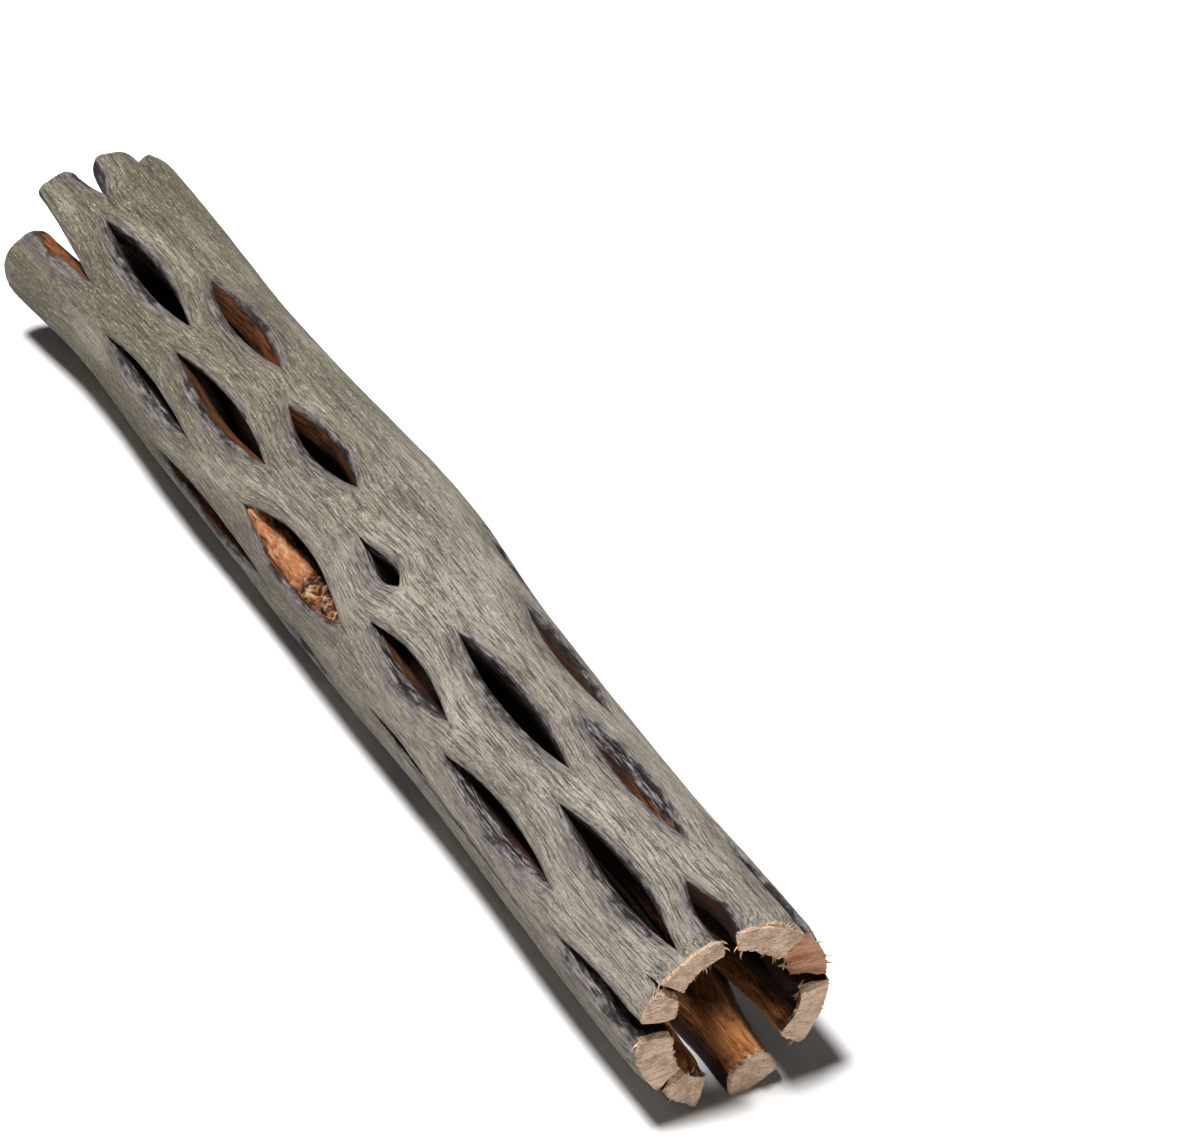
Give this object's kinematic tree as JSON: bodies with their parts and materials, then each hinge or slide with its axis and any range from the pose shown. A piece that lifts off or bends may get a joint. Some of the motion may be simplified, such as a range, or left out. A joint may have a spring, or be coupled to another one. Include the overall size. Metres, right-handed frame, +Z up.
{
  "type": "cholla driftwood stem",
  "caption": "Hollow, weathered stem of cholla wood with a spiral of lens-shaped slots through its wall, sawn at one end; lies on a surface as a hide or an ornament.",
  "frame": {"origin": "middle of the stem's underside, on the surface that it lies on", "axes": "+X along the stem towards its sawn end, +Z up, +Y across the stem"},
  "size_m": [0.1538, 0.0242, 0.022],
  "materials": {
    "weathered_wood": "weathered grey and matt, with warmer wood inside the slots and on the sawn end"
  },
  "bodies": {
    "root": {"cholla_stem": "weathered_wood"}
  },
  "joints": []
}
